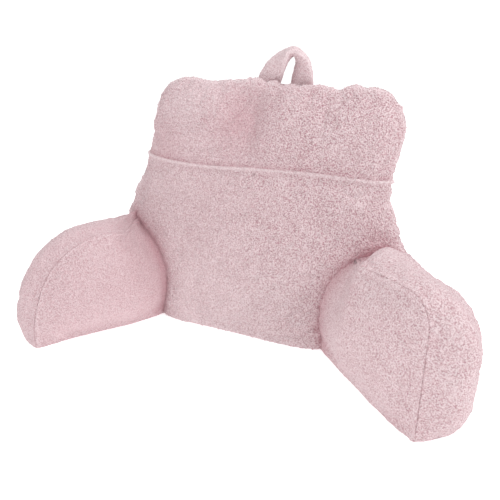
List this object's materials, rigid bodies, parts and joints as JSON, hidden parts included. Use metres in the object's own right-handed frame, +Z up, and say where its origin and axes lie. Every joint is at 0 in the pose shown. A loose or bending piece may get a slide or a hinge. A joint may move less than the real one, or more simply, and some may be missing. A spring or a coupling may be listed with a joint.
{
  "type": "reading pillow",
  "caption": "Fleece backrest pillow with two splayed arms, a waist seam across the front and a carry handle at the crest, for sitting up in bed.",
  "frame": {"origin": "middle of the backrest's flat underside, on the surface it stands on", "axes": "+X across the pillow towards the arm on the right of the picture, +Y behind the backrest, +Z up"},
  "size_m": [0.8452, 0.4137, 0.523],
  "materials": {
    "fleece": "dusty pink curly fleece with a deep matt pile",
    "handle_fleece": "the same fleece, pressed flatter on the strap"
  },
  "bodies": {
    "root": {"backrest_front": "fleece", "headrest_front": "fleece", "rear_panel": "fleece", "arm_left_inner": "fleece", "arm_left_gusset": "fleece", "arm_left_outer": "fleece", "arm_right_inner": "fleece", "arm_right_gusset": "fleece", "arm_right_outer": "fleece", "handle": "handle_fleece"}
  },
  "joints": []
}
